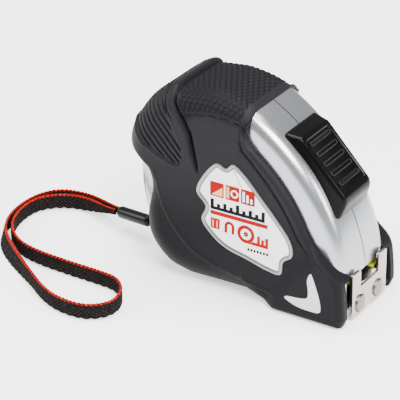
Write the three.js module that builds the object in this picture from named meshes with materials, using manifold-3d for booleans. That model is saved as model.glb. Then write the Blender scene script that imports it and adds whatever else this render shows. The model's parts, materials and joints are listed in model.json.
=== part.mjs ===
// A pocket tape measure, 8 m by 25 mm, with a rubber grip, a sliding blade lock and a wrist strap.
// Millimetres, +Z up, +X towards the hook, -Y towards the label side.
// The origin is on the flat underside, in the middle of the case's width.
import * as THREE from 'three';
import { mergeVertices } from 'three/addons/utils/BufferGeometryUtils.js';
import Module from 'manifold-3d';

const wasm = await Module();
wasm.setup();

// ---- driving dimensions ----
const caseHeight = 77.7; // over the rubber, and it scales the whole side view
const bladeWidth = 25; // along the curved section
const sideRoom = 1.8; // between the blade's edges and the case's wall
const wall = 2.2; // hard case wall
const gripThick = 3; // rubber on the sides
const footFlare = 2.25; // how far the feet stand out beyond the sides
const caseHalf = bladeWidth / 2 + sideRoom + wall; // half width of the hard case
const gripHalf = caseHalf + gripThick; // half width over the rubber sides
const footHalf = gripHalf + footFlare; // half width over the feet
const gap = 0.3; // clearance between pieces that touch
const frontRadius = 78.2; // curve of the metal-look front, before scaling
const noseRound = 5.5; // shoulder of the front
const tubRound = 8; // shoulder of the case under the rubber
const bladeCurve = 20; // radius of the blade's section
const bladeThick = 0.25;
const bladeZ = 10.4; // underside of the blade, in the middle
const bladeRear = -30; // hidden end of the straight blade
const bladeFront = 38.8; // end of the blade behind the hook
const coilInner = 18.6; // blade windings, inside radius
const coilSlack = 2.8; // room between the windings and the case's wall
const coilLift = 0.7; // room between the windings and the straight blade below
const drumWall = 1.4;
const arborRadius = 3;
const springStrip = 0.5; // power spring thickness
const springTurns = 6;
const hookThick = 1.2;
const hookHalf = bladeWidth / 2 + 0.5; // a little wider than the blade
const hookTop = 18.5;
const tabHalf = 6.5; // half width of the hook's riveted tab
const hookPlay = 1.2; // travel of the hook on its rivets
const rivetRadius = 1.0;
const rivetHead = 1.9;
const rivetHeadThick = 0.7;
const magnetRadius = 3.25;
const magnetThick = 1.8;
const lockTravel = 4.5; // degrees along the front
const lockHalf = 10.5; // half width of the button
const lockStem = 3.5; // half width of the stem through the case
const labelThick = 1.2;
const labelDepth = 0.9; // how deep the label plate sits in the rubber
const screwRadius = 1.4;
const screwHead = 3.2;
const screwHeadThick = 1.6;
const bossWall = 1.6;
const clipThick = 1.0;
const clipHalf = 9; // half width of the belt clip
const clipGap = 4.6; // room behind the belt clip
const pinRadius = 1.0;
const cordRadius = 0.7;
const strapWidth = 6.3;
const strapThick = 1.4;
const ferruleRadius = 2.4;

// ---- places worked out from the dimensions ----
const k = caseHeight / 77.7;
const p = (x, z) => new THREE.Vector2(x * k, z * k);
const front = { c: p(-37.5, 4.5), r: frontRadius * k }; // the front is an arc about this centre
const polar = (deg, r) => {
  const a = THREE.MathUtils.degToRad(deg);
  return new THREE.Vector2(front.c.x + r * Math.cos(a), front.c.y + r * Math.sin(a));
};
const middle = p(-5, 36); // rings of the rubber run round this point
const nosePlane = 39.3 * k;
const lipX = 0.3 * k; // where the rubber top ends and the bare front starts
const partingY = 1; // seam of the two rubber halves
const reel = p(-12, 42.3);
const cavityRadius = front.r - wall;
const reelRoom = cavityRadius - Math.hypot(reel.x - front.c.x, reel.y - front.c.y);
const bladeTop = bladeZ + bladeCurve * (1 - Math.cos(bladeWidth / 2 / bladeCurve)) + bladeThick;
const coilOuter = Math.min(reelRoom - coilSlack * k, reel.y - bladeTop - coilLift);
const coilHalf = bladeWidth / 2;
const drumOuter = coilInner - gap;
const drumInner = drumOuter - drumWall;
const curveZ = bladeZ + bladeCurve + bladeThick; // centre of the blade's section
const mouthLow = 5.3;
const mouthHigh = bladeTop + 1.6;
const hookX = nosePlane + 0.9;

const smooth = (t) => THREE.MathUtils.smoothstep(t, 0, 1);

// ---- solids ----
function solid(geometry) {
  const g = geometry.index ? geometry.clone() : geometry;
  for (const name of Object.keys(g.attributes)) if (name !== 'position') g.deleteAttribute(name);
  g.clearGroups();
  const merged = mergeVertices(g, 1e-4);
  const mesh = new wasm.Mesh({
    numProp: 3,
    vertProperties: new Float32Array(merged.attributes.position.array),
    triVerts: new Uint32Array(merged.index.array),
  });
  mesh.merge();
  return new wasm.Manifold(mesh);
}

function geometryOf(manifold) {
  const mesh = manifold.getMesh();
  const g = new THREE.BufferGeometry();
  g.setAttribute('position', new THREE.BufferAttribute(new Float32Array(mesh.vertProperties), 3));
  g.setIndex(new THREE.BufferAttribute(new Uint32Array(mesh.triVerts), 1));
  return g;
}

const unite = (...list) => list.reduce((a, b) => a.add(b));
const cut = (base, ...list) => list.reduce((a, b) => a.subtract(b), base);

// a side-view outline pushed out along Y from y0 to y1, with an optional rounded edge
function sidePlate(points, y0, y1, round = 0, steps = 4) {
  const g = new THREE.ExtrudeGeometry(new THREE.Shape(points), {
    depth: y1 - y0 - 2 * round,
    steps: 1,
    bevelEnabled: round > 0,
    bevelSize: round,
    bevelThickness: round,
    bevelOffset: -round,
    bevelSegments: steps,
  });
  g.rotateX(Math.PI / 2);
  g.translate(0, y1 - round, 0);
  return solid(g);
}

// an outline in the Y-Z plane pushed along X from x0 to x1
function crossPlate(shape, x0, x1, curveSegments = 6) {
  const g = new THREE.ExtrudeGeometry(shape, { depth: x1 - x0, steps: 1, bevelEnabled: false, curveSegments });
  g.applyMatrix4(new THREE.Matrix4().set(0, 0, 1, x0, 1, 0, 0, 0, 0, 1, 0, 0, 0, 0, 0, 1));
  return solid(g);
}

function block(x0, x1, y0, y1, z0, z1) {
  const g = new THREE.BoxGeometry(x1 - x0, y1 - y0, z1 - z0);
  g.translate((x0 + x1) / 2, (y0 + y1) / 2, (z0 + z1) / 2);
  return solid(g);
}

// a cylinder along Y at a point of the side view
function yRod(at, radius, y0, y1, sides = 24) {
  const g = new THREE.CylinderGeometry(radius, radius, y1 - y0, sides);
  g.translate(at.x, (y0 + y1) / 2, at.y);
  return solid(g);
}

function xRod(y, z, radius, x0, x1, sides = 24) {
  const g = new THREE.CylinderGeometry(radius, radius, x1 - x0, sides);
  g.rotateZ(Math.PI / 2);
  g.translate((x0 + x1) / 2, y, z);
  return solid(g);
}

// a ring about the Y axis through a point of the side view
function yRing(at, inner, outer, y0, y1, sides = 48) {
  const section = [[inner, y0], [outer, y0], [outer, y1], [inner, y1], [inner, y0]];
  const g = new THREE.LatheGeometry(section.map(([r, y]) => new THREE.Vector2(r, y)), sides);
  g.translate(at.x, 0, at.y);
  return solid(g);
}

function arcPoints(from, to, radius, count) {
  return Array.from({ length: count + 1 }, (_, i) => polar(from + ((to - from) * i) / count, radius));
}

// ---- outlines in the side view ----
// hard case under the rubber: flat below, round behind, dropped under the rubber on top
function tubOutline(grow) {
  const rear = p(8.7, 41);
  const rearRadius = 58 * k;
  const rearArc = Array.from({ length: 9 }, (_, i) => {
    const a = THREE.MathUtils.degToRad(200.5 - i * 4.7);
    return new THREE.Vector2(rear.x + rearRadius * Math.cos(a), rear.y + rearRadius * Math.sin(a));
  });
  const heel = new THREE.QuadraticBezierCurve(p(-24, 3.2), p(-40.5, 4), rearArc[0]).getPoints(5);
  const topCurve = new THREE.SplineCurve(
    [p(-46.9, 57.6), p(-41.8, 65.6), p(-35, 71.2), p(-26, 74.4), p(-16, 75.1), p(-6, 73.6), p(1.5, 71)],
  ).getPoints(16);
  const chin = arcPoints(56, 8, front.r - 1.2, 8);
  const points = [p(30, 3.2), ...heel, ...rearArc.slice(1, -1), ...topCurve, ...chin, p(35.5, 3.2)];
  return points.map((q) => {
    const away = q.clone().sub(middle);
    return q.clone().add(away.setLength(grow));
  });
}

// bare front: the arc, the mouth's flat face and the flat underside
function noseOutline(grow) {
  const r = front.r + grow;
  const foot = THREE.MathUtils.radToDeg(Math.acos((nosePlane + grow - front.c.x) / r));
  const low = 0.8 * k - grow;
  return [
    polar(72, r),
    ...arcPoints(62, foot, r, 18),
    new THREE.Vector2(nosePlane + grow, low),
    new THREE.Vector2(-14 * k, low),
  ];
}

// one side of the hard case as a solid, grown for clearances or shrunk for the hollow
function caseSide(side, grow, seam) {
  const half = caseHalf + grow;
  const tub = dome(tubOutline(grow), side, seam, () => tubRound + grow, () => half, 4);
  const nose = dome(noseOutline(grow), side, seam, () => noseRound + grow, () => half, 5);
  const ahead = block(lipX - grow, 200, -half - 9, half + 9, -50, 200);
  return unite(tub, nose.intersect(ahead));
}

// rubber outline: front edge, foot, flat base, round heel, notch, rear hump and domed top
function gripOutline() {
  const edge = arcPoints(53, 25, front.r - 9.4 * k, 9);
  const foot = new THREE.SplineCurve(
    [edge.at(-1), p(28.7, 28.1), p(34.9, 22.6), p(39.8, 17.6), p(41.2, 10), p(41.6, 3)],
  ).getPoints(14);
  const heel = new THREE.SplineCurve([
    p(-26, 0), p(-34, 2.6), p(-40, 8), p(-43.6, 15), p(-44, 21), p(-42.8, 28),
    p(-42.6, 35), p(-44.2, 41.5), p(-48, 46), p(-51, 50), p(-50.8, 55),
    p(-48, 61.8), p(-43, 69), p(-37, 74.3), p(-32, 76.9),
  ]).getPoints(42);
  const dome = new THREE.SplineCurve(
    [p(-30.2, 76.4), p(-24, 77.2), p(-17.8, 77.7), p(-10, 76.8), p(-4, 75.2), p(0.2, 73.4)],
  ).getPoints(14);
  const lip = [p(0.2, 70), p(0.3, 66), p(1.2, 62.8)];
  const base = [p(40.4, 0), p(30, 0), p(20, 0), p(10, 0), p(0, 0), p(-10, 0), p(-18, 0)];
  return [...lip, ...edge, ...foot.slice(1), ...base, ...heel, ...dome];
}

// how round the rubber's edge is at a point of its outline
function edgeRound(q) {
  const x = q.x / k;
  const z = q.y / k;
  const sharp = 3;
  const bottom = THREE.MathUtils.lerp(11, sharp, smooth((x + 4) / 18));
  const top = x > -0.5 ? sharp : 9.5;
  if (z < 30) return x > 0 ? bottom : 11 - 4 * smooth((z - 16) / 12);
  return z > 71 ? Math.max(top, x > -0.5 ? 7 : 9.5) : x > -0.5 ? sharp : 7 + 2.5 * smooth((z - 45) / 10);
}

// half width of the rubber: level sides that swell out to the feet
function flank(q) {
  const forward = (q.x * 0.8 - q.y * 0.6) / k;
  return gripHalf + (footHalf - gripHalf) * smooth((forward - 4) / 6);
}

// a rounded half: the outline rises from the seam plane, rounds over and closes at a side face.
// side is -1 or 1, round(q) the edge radius and level(q) the half width at a point of the side view
function dome(outline, side, seam, round, level, arcSteps, shares = []) {
  const count = outline.length;
  const rings = [];
  const ring = (inset, height) => rings.push(outline.map((q) => {
    const inward = middle.clone().sub(q);
    const at = q.clone().add(inward.clone().setLength(inset(q, inward.length())));
    return [at.x, height(q, at), at.y];
  }));
  ring(() => 0, () => seam);
  for (let i = 0; i <= arcSteps; i++) {
    const t = (i / arcSteps) * (Math.PI / 2);
    const drop = (q) => round(q) * (1 - Math.sin(t));
    ring((q) => round(q) * (1 - Math.cos(t)), (q, at) => side * (level(at) - drop(q)));
  }
  for (const share of shares) {
    ring((q, reach) => round(q) + (reach - round(q)) * share, (q, at) => side * level(at));
  }
  const index = [];
  const face = (a, b, c) => index.push(...(side < 0 ? [a, c, b] : [a, b, c]));
  for (let r = 0; r + 1 < rings.length; r++) {
    for (let i = 0; i < count; i++) {
      const j = (i + 1) % count;
      const [a, b, c, d] = [r * count + i, r * count + j, (r + 1) * count + j, (r + 1) * count + i];
      face(a, b, c);
      face(a, c, d);
    }
  }
  const cap = (r, turned) => {
    const flat = rings[r].map(([x, , z]) => new THREE.Vector2(x, z));
    const start = r * count;
    for (const [a, b, c] of THREE.ShapeUtils.triangulateShape(flat, [])) {
      face(start + a, start + (turned ? c : b), start + (turned ? b : c));
    }
  };
  const clockwise = THREE.ShapeUtils.isClockWise(outline);
  cap(rings.length - 1, clockwise);
  cap(0, !clockwise);
  if (!clockwise) for (let i = 0; i < index.length; i += 3) index.splice(i, 3, index[i], index[i + 2], index[i + 1]);
  const g = new THREE.BufferGeometry();
  g.setAttribute('position', new THREE.BufferAttribute(new Float32Array(rings.flat(2)), 3));
  g.setIndex(index);
  return solid(g);
}

const labelCurve = new THREE.CatmullRomCurve3(
  [
    [-12.1, 52.5], [-7.7, 51.6], [-4.5, 53.9], [1, 50], [7, 43.6], [13, 37.2], [19.1, 29.6],
    [20.2, 23.6], [16.6, 20.3], [15.4, 14.9], [9.4, 15.1], [1.4, 17.2], [-7.5, 19.4],
    [-13.6, 23.2], [-17.9, 28.6], [-16.2, 34.4], [-20.1, 39.6], [-17.4, 46.3],
  ].map(([x, z]) => new THREE.Vector3(x * k, 0, z * k)), true, 'centripetal',
);
const labelOutline = labelCurve.getSpacedPoints(54).slice(0, -1).map((q) => new THREE.Vector2(q.x, q.z));

const badgeCurve = new THREE.CatmullRomCurve3(
  [
    [28.6, 20], [27.4, 17], [27.9, 12.5], [27.4, 9.8], [24.1, 8.9], [19.2, 8.4], [18.6, 7.2],
    [23.1, 5.3], [28.4, 4.8], [32.3, 5.1], [33.2, 6.8], [32.5, 11], [31, 15.4], [29.5, 19.2],
  ].map(([x, z]) => new THREE.Vector3(x * k, 0, z * k)), true, 'centripetal',
);
const badgeOutline = badgeCurve.getSpacedPoints(36).slice(0, -1).map((q) => new THREE.Vector2(q.x, q.z));

// an outline moved out (or in, when negative) all round, for pockets and rims
function offset(points, distance) {
  return points.map((q, i) => {
    const before = points[(i + points.length - 1) % points.length];
    const after = points[(i + 1) % points.length];
    const along = after.clone().sub(before).normalize();
    const out = new THREE.Vector2(along.y, -along.x);
    const sign = THREE.ShapeUtils.isClockWise(points) ? -1 : 1;
    return q.clone().addScaledVector(out, sign * distance);
  });
}

// ---- fasteners and where they go ----
const bossRadius = screwRadius + gap + bossWall;
const underBlade = bladeZ - 2 * gap - bossRadius;
const screwPlaces = {
  rear_top: p(-37.5, 63),
  rear_bottom: new THREE.Vector2(-26 * k, underBlade),
  front: p(27, 25),
};
const clipScrewPlace = p(-8, 53);
const pinPlace = p(-38.4, 12.6);
const screwSeat = caseHalf + gap; // the heads sit on the hard case, inside holes in the rubber

function screw(place, fromY, seat, toY) {
  const shank = yRod(place, screwRadius, fromY, seat + 0.2, 16);
  const head = yRod(place, screwHead, seat, toY, 24);
  const slotHalf = 0.45;
  const slot = block(place.x - screwHead, place.x + screwHead, toY - 0.7, toY + 1, place.y - slotHalf, place.y + slotHalf);
  return cut(unite(shank, head), slot);
}

// ---- hard case halves ----
function shellHalves() {
  const holes = [];
  const bosses = [];
  for (const place of Object.values(screwPlaces)) {
    bosses.push(yRod(place, bossRadius, -caseHalf + wall / 2, caseHalf - wall / 2, 20));
    holes.push(yRod(place, screwRadius + gap, -caseHalf + wall + 1, caseHalf + 5, 16));
  }
  const sleeve = yRod(pinPlace, pinRadius + gap + bossWall / 2, -caseHalf + 2, caseHalf - 2, 16);
  const sleeveGap = block(-80 * k, pinPlace.x + 4, -4, 4, 0, pinPlace.y + 6);
  bosses.push(cut(sleeve, sleeveGap));
  holes.push(yRod(pinPlace, pinRadius + gap, -9.3, 9.3, 12));
  holes.push(cordHole());
  holes.push(block(nosePlane - 2 * wall, nosePlane + 2, -hookHalf, hookHalf, mouthLow, mouthHigh));
  holes.push(lockSlot(gap), bumperBar(gap));
  holes.push(yRod(clipScrewPlace, screwRadius + gap, caseHalf - wall - 1, caseHalf + 5, 16));
  return [-1, 1].map((side) => {
    const seam = (side * gap) / 2;
    const outer = caseSide(side, 0, seam);
    const hollow = caseSide(side, -wall, -side * wall);
    return cut(unite(cut(outer, hollow), ...bosses.map((b) => b.intersect(outer))), ...holes);
  });
}

const lockStemFrom = 40;
const lockStemTo = 46;

function lockSlot(clearance) {
  const sweep = [
    ...arcPoints(lockStemTo + 0.6, lockStemFrom - lockTravel - 0.6, front.r + 2, 6),
    ...arcPoints(lockStemFrom - lockTravel - 0.6, lockStemTo + 0.6, front.r - 2 * wall, 6),
  ];
  return sidePlate(sweep, -lockStem - clearance, lockStem + clearance);
}

function cordHole() {
  return block(-60 * k, pinPlace.x + 2.6, -2.4, 2.4, pinPlace.y - 3, pinPlace.y + 3);
}

function bumperBar(clearance) {
  const reach = hookHalf + 2.6;
  return block(
    nosePlane - 1.2 - clearance, nosePlane + 0.55 + clearance, -reach - clearance, reach + clearance,
    1.9 - clearance, 4.3 + clearance,
  );
}

// ---- rubber halves ----
function gripHalfSolid(side) {
  const window = block(14 * k, 100, -caseHalf - gap, caseHalf + gap, -5, 30 * k);
  const holes = [caseSide(side, gap, -side * 5), window, cordHole()];
  const face = (y) => (side < 0 ? [-50, -y] : [y, 50]);
  holes.push(sidePlate(offset(badgeOutline, gap), ...face(footHalf - 0.9)));
  if (side < 0) {
    holes.push(sidePlate(offset(labelOutline, gap), ...face(gripHalf - labelDepth)));
  } else {
    for (const place of Object.values(screwPlaces)) holes.push(yRod(place, screwHead + gap, 10, 50, 24));
    holes.push(yRod(clipScrewPlace, screwRadius + gap, 10, 50, 16));
  }
  const seam = partingY + (side * gap) / 2;
  return cut(dome(gripOutline(), side, seam, edgeRound, flank, 4, [0.4, 0.65]), ...holes);
}

// ---- blade, reel and spring ----
function bladeSection(inner, outer, half) {
  const arc = (r, from, to) => Array.from({ length: 13 }, (_, i) => {
    const a = from + ((to - from) * i) / 12;
    return new THREE.Vector2(r * Math.sin(a), curveZ - r * Math.cos(a));
  });
  return new THREE.Shape([...arc(outer, -half, half), ...arc(inner, half, -half)]);
}

const rivetSpots = [[bladeFront - 8, -10], [bladeFront - 8, 10], [bladeFront - 4, 0]];

// turns a solid drawn standing at Y=0 to its place round the blade's section
function roundBlade(geometry, degrees) {
  geometry.translate(0, 0, -curveZ);
  geometry.rotateX(THREE.MathUtils.degToRad(degrees));
  geometry.translate(0, 0, curveZ);
  return solid(geometry);
}

function stadium(x, length, radius, z0, z1, degrees) {
  const s = new THREE.Shape();
  s.absarc(x, 0, radius, -Math.PI / 2, Math.PI / 2);
  s.absarc(x - length, 0, radius, Math.PI / 2, (3 * Math.PI) / 2);
  const g = new THREE.ExtrudeGeometry(s, { depth: z1 - z0, steps: 1, bevelEnabled: false, curveSegments: 8 });
  g.translate(0, 0, z0);
  return roundBlade(g, degrees);
}

function blade() {
  const strip = crossPlate(
    bladeSection(bladeCurve, bladeCurve + bladeThick, bladeWidth / 2 / bladeCurve), bladeRear, bladeFront,
  );
  const bores = rivetSpots.map(([x, deg]) => stadium(x, 0.01, rivetRadius + gap, bladeZ - 2, bladeZ + 3, deg));
  return cut(strip, ...bores);
}

function coil() {
  return yRing(reel, coilInner, coilOuter, -coilHalf, coilHalf, 72);
}

function drum() {
  const cup = yRing(reel, drumInner, drumOuter, -coilHalf, coilHalf);
  const floor = yRing(reel, arborRadius + gap, drumInner + 0.2, coilHalf - drumWall, coilHalf);
  return unite(cup, floor);
}

function reelCap() {
  return yRing(reel, arborRadius + gap, drumInner - gap, -coilHalf, -coilHalf + drumWall);
}

function powerSpring() {
  const inner = arborRadius + gap + springStrip / 2;
  const outer = drumInner - gap - springStrip / 2;
  const steps = springTurns * 20;
  const spiral = (shift) => Array.from({ length: steps + 1 }, (_, i) => {
    const a = (i / 20) * 2 * Math.PI;
    const r = inner + ((outer - inner) * i) / steps + shift;
    return new THREE.Vector2(reel.x + r * Math.cos(a), reel.y + r * Math.sin(a));
  });
  const outline = [...spiral(springStrip / 2), ...spiral(-springStrip / 2).reverse()];
  const reach = coilHalf - drumWall - gap;
  return sidePlate(outline, -reach, reach);
}

function arbor() {
  const reach = caseHalf - wall - gap;
  const post = yRod(reel, arborRadius, -reach, reach, 24);
  const slit = block(reel.x - 0.5, reel.x + 0.5, -reach + 5, reach - 5, reel.y, reel.y + arborRadius + 1);
  return cut(post, slit);
}

// ---- hook, rivets and magnets ----
const magnetY = hookHalf - 6.2;
const magnetZ = 4.8;

function hook() {
  const low = 0.5;
  const r = 1;
  const slotHalf = tabHalf + 0.4;
  const slotFloor = bladeZ + bladeThick + gap + 0.6;
  const s = new THREE.Shape();
  s.moveTo(-hookHalf + r, low);
  s.lineTo(-2.6, low);
  s.quadraticCurveTo(0, low + 2.2, 2.6, low);
  s.lineTo(hookHalf - r, low);
  s.absarc(hookHalf - r, low + r, r, -Math.PI / 2, 0);
  s.absarc(hookHalf - r, hookTop - r, r, 0, Math.PI / 2);
  s.absarc(slotHalf + r, hookTop - r, r, Math.PI / 2, Math.PI);
  s.lineTo(slotHalf, slotFloor);
  s.lineTo(-slotHalf, slotFloor);
  s.absarc(-slotHalf - r, hookTop - r, r, 0, Math.PI / 2);
  s.absarc(-hookHalf + r, hookTop - r, r, Math.PI / 2, Math.PI);
  s.absarc(-hookHalf + r, low + r, r, Math.PI, Math.PI * 1.5);
  const plate = crossPlate(s, hookX, hookX + hookThick, 3);
  const under = bladeCurve - gap;
  const tab = crossPlate(
    bladeSection(under - hookThick + 0.2, under, tabHalf / under), bladeFront - 11.5, hookX + hookThick / 2,
  );
  const slots = rivetSpots.map(([x, deg]) => stadium(x, hookPlay + gap, rivetRadius + gap, bladeZ, bladeZ + 4, deg));
  const bores = [-1, 1].map((side) => xRod(side * magnetY, magnetZ, magnetRadius + gap, hookX - 1, hookX + 3));
  return cut(unite(plate, tab), ...slots, ...bores);
}

function rivet([x, deg]) {
  const tabTop = bladeZ + bladeThick + gap + hookThick - 0.2;
  const levels = [bladeZ - gap - rivetHeadThick, bladeZ - gap, tabTop + gap, tabTop + gap + rivetHeadThick];
  const profile = [
    [0, levels[0]], [rivetHead, levels[0]], [rivetHead, levels[1]], [rivetRadius, levels[1]],
    [rivetRadius, levels[2]], [rivetHead, levels[2]], [rivetHead * 0.7, levels[3]], [0, levels[3]],
  ].map(([r, z]) => new THREE.Vector2(r, z));
  const g = new THREE.LatheGeometry(profile, 16);
  g.rotateX(Math.PI / 2);
  g.translate(x, 0, 0);
  return roundBlade(g, deg);
}

function magnet(side) {
  return xRod(side * magnetY, magnetZ, magnetRadius, hookX, hookX + magnetThick, 28);
}

// ---- blade lock ----
const lockTop = 51;
const lockLow = 25.2;
const lockProfile = [[50.7, 2.2], [47.9, 4.0], [30.9, 6.1], [28.2, 5.2]]; // degrees round the front, height

function lockButton() {
  const base = front.r + gap;
  const outline = [
    ...arcPoints(lockLow, lockTop, base, 10),
    ...lockProfile.map(([deg, h]) => polar(deg, front.r + h * k)),
  ];
  const body = sidePlate(outline, -lockHalf, lockHalf, 0.8, 2);
  const [upper, lower] = [polar(...lift(1)), polar(...lift(2))];
  const along = lower.clone().sub(upper);
  const tilt = Math.atan2(along.y, along.x);
  const ribs = [0.12, 0.31, 0.5, 0.69, 0.88].map((share) => {
    const at = upper.clone().addScaledVector(along, share);
    const g = new THREE.BoxGeometry(1.3, 14.5, 1.4);
    g.rotateY(-tilt);
    g.translate(at.x, 0, at.y);
    return solid(g);
  });
  const stem = [
    ...arcPoints(lockStemFrom, lockStemTo, front.r - wall - 0.1, 2),
    ...arcPoints(lockStemTo, lockStemFrom, base + 1, 2),
  ];
  return unite(body, sidePlate(stem, -lockStem, lockStem), ...ribs);
}

function lift(i) {
  const [deg, h] = lockProfile[i];
  return [deg, front.r + h * k];
}

const armOuter = front.r - wall - 0.4;
const armInner = armOuter - 2;
const armLow = 18; // keeps the pad clear of the nose at the end of its travel

function lockArm() {
  const outline = [...arcPoints(armLow, lockStemTo, armOuter, 10), ...arcPoints(lockStemTo, armLow, armInner, 10)];
  return sidePlate(outline, -6, 6);
}

function brakePad() {
  const reach = armLow - 0.3;
  const outline = [...arcPoints(reach - 2, reach, armOuter, 2), ...arcPoints(reach, reach - 2, armInner, 2)];
  return sidePlate(outline, -8, 8);
}

// ---- label, badges, bumper, guide ----
function labelPlate() {
  const back = -(gripHalf - labelDepth + gap);
  return sidePlate(labelOutline, back - labelThick, back, 0.4, 2);
}

function badge(side) {
  const back = footHalf - 0.9 + gap;
  return side < 0
    ? sidePlate(badgeOutline, -footHalf - 0.1, -back)
    : sidePlate(badgeOutline, back, footHalf + 0.1);
}

function bladeGuide() {
  const room = rivetHeadThick + 3 * gap; // the rivet heads pass above the guide
  const half = bladeWidth / 2 - 1.1;
  const reach = Math.asin(half / (bladeCurve + room));
  const top = Array.from({ length: 9 }, (_, i) => {
    const a = reach - (2 * reach * i) / 8;
    return new THREE.Vector2((bladeCurve + room) * Math.sin(a), curveZ - (bladeCurve + room) * Math.cos(a));
  });
  const floorZ = 0.8 * k + wall + gap;
  const s = new THREE.Shape([new THREE.Vector2(-half, floorZ), new THREE.Vector2(half, floorZ), ...top]);
  return crossPlate(s, nosePlane - 8, nosePlane - wall - gap);
}

// ---- belt clip on the far side ----
function beltClip() {
  const y0 = gripHalf + gap;
  const y1 = y0 + clipThick + clipGap;
  const top = clipScrewPlace.y + 6;
  const s = new THREE.Shape();
  const bend = (y1 + clipThick - y0) / 2;
  s.moveTo(y0, clipScrewPlace.y - 6);
  s.lineTo(y0, top - bend);
  s.absarc(y0 + bend, top - bend, bend, Math.PI, 0, true);
  s.lineTo(y1 + clipThick, 24 * k);
  s.lineTo(y1 + clipThick - 1.6, 18 * k);
  s.lineTo(y1 + clipThick + 0.6, 12.5 * k);
  s.lineTo(y1 + 0.6 - 0.4, 12.1 * k);
  s.lineTo(y1 - 1.7, 18 * k);
  s.lineTo(y1, 24.2 * k);
  s.lineTo(y1, top - bend);
  s.absarc(y0 + bend, top - bend, bend - clipThick, 0, Math.PI, false);
  s.lineTo(y0 + clipThick, clipScrewPlace.y - 6);
  const x0 = clipScrewPlace.x;
  const strip = crossPlate(s, x0 - clipHalf, x0 + clipHalf, 8);
  const reachHole = yRod(clipScrewPlace, screwHead + gap, y1 - 1, y1 + 3, 24);
  return cut(strip, yRod(clipScrewPlace, screwRadius + gap, y0 - 1, y0 + 2, 16), reachHole);
}

// ---- wrist strap ----
const ferruleIn = new THREE.Vector3(-69.6, 4.4, 6.9);
const ferruleOut = new THREE.Vector3(-53.8, 1.5, 8.2);
const strapRoute = [
  [-70.7, 5.6, 6.7], [-78, 8.4, 5.1], [-86.5, 10.9, 3.6], [-94, 11, 3.3], [-99.8, 9.2, 3.3],
  [-104.4, 5.2, 3.3], [-107.2, -1, 3.3], [-108, -9, 3.3], [-106.4, -18.4, 3.3], [-102.4, -26.6, 3.3],
  [-96.2, -33.8, 3.3], [-86.3, -42.2, 3.3], [-73.4, -51.9, 3.3], [-60.6, -60.3, 3.3], [-51, -63.4, 3.3],
  [-42.1, -62.8, 3.3], [-36.8, -58, 3.3], [-35.6, -51, 3.3], [-38.4, -43.6, 3.3], [-43.8, -39.4, 3.3],
  [-52, -38.3, 3.3], [-64, -38, 3.3], [-77.8, -36.9, 3.3], [-87, -34.2, 3.3], [-94.2, -29, 3.3],
  [-99.6, -22.4, 3.3], [-103.2, -15, 3.3], [-104.6, -7.5, 3.3], [-103.6, -0.8, 3.3], [-99.4, 4.6, 3.3],
  [-93.4, 7.8, 3.3], [-86.4, 8.1, 3.6], [-78, 5.7, 5.1], [-71.1, 3.4, 6.7],
];

function tubeAlong(points, section, steps) {
  const path = new THREE.CatmullRomCurve3(points.map((q) => new THREE.Vector3(...q)), false, 'centripetal');
  return new THREE.ExtrudeGeometry(new THREE.Shape(section), { steps, bevelEnabled: false, extrudePath: path });
}

function strapWebbing() {
  const h = strapWidth / 2;
  const t = strapThick / 2;
  const c = 0.45; // worn corners of the strap
  const section = [[h, t - c], [h - c, t], [-h + c, t], [-h, t - c], [-h, c - t], [c - h, -t], [h - c, -t], [h, c - t]];
  return tubeAlong(strapRoute, section.map(([x, y]) => new THREE.Vector2(x, y)), 78);
}

function strapCord() {
  const round = Array.from({ length: 8 }, (_, i) => {
    const a = (i / 8) * 2 * Math.PI;
    return new THREE.Vector2(cordRadius * Math.cos(a), cordRadius * Math.sin(a));
  });
  const reach = pinRadius + cordRadius + gap;
  const c = pinPlace;
  return tubeAlong([
    [-53.3, 1.4, 9.1], [-50.4, 1, 10], [-47, 0.6, c.y + 1.4], [c.x, 0, c.y + reach], [c.x + reach * 0.8, 0, c.y + reach * 0.7],
    [c.x + reach, 0, c.y], [c.x + reach * 0.8, 0, c.y - reach * 0.7], [c.x, 0, c.y - reach],
    [-47, 0.6, c.y - 2.2], [-53.3, 1.4, 7.3],
  ], round, 36);
}

function strapFerrule() {
  const along = ferruleOut.clone().sub(ferruleIn);
  const length = along.length();
  const r = ferruleRadius;
  const profile = [[0, 0], [r - 0.5, 0], [r, 0.6], [r, length - 0.9], [r - 0.7, length], [0, length]];
  const g = new THREE.LatheGeometry(profile.map(([a, b]) => new THREE.Vector2(a, b)), 20);
  const turn = new THREE.Quaternion().setFromUnitVectors(new THREE.Vector3(0, 1, 0), along.normalize());
  g.applyQuaternion(turn);
  g.translate(ferruleIn.x, ferruleIn.y, ferruleIn.z);
  return g;
}

// ---- materials ----
const material = (color, roughness, metalness) => new THREE.MeshStandardMaterial({ color, roughness, metalness });
const finish = {
  silver: () => material(0xc9cacd, 0.3, 0.6),
  rubber: () => material(0x3b393e, 0.75, 0),
  gloss: () => material(0x0c0c0e, 0.22, 0),
  nickel: () => material(0xcdc5c0, 0.28, 1),
  steel: () => material(0x8f9296, 0.35, 1),
  plastic: () => material(0x202124, 0.5, 0),
  label: () => material(0xf2f2f2, 0.35, 0),
  blade: () => material(0xc9d22e, 0.35, 0),
  strap: () => material(0x2a2422, 0.9, 0),
};

const tape = new THREE.Group();
function add(name, shape, look) {
  const g = shape.isBufferGeometry ? shape : geometryOf(shape);
  const mesh = new THREE.Mesh(g, finish[look]());
  mesh.name = name;
  tape.add(mesh);
}

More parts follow.
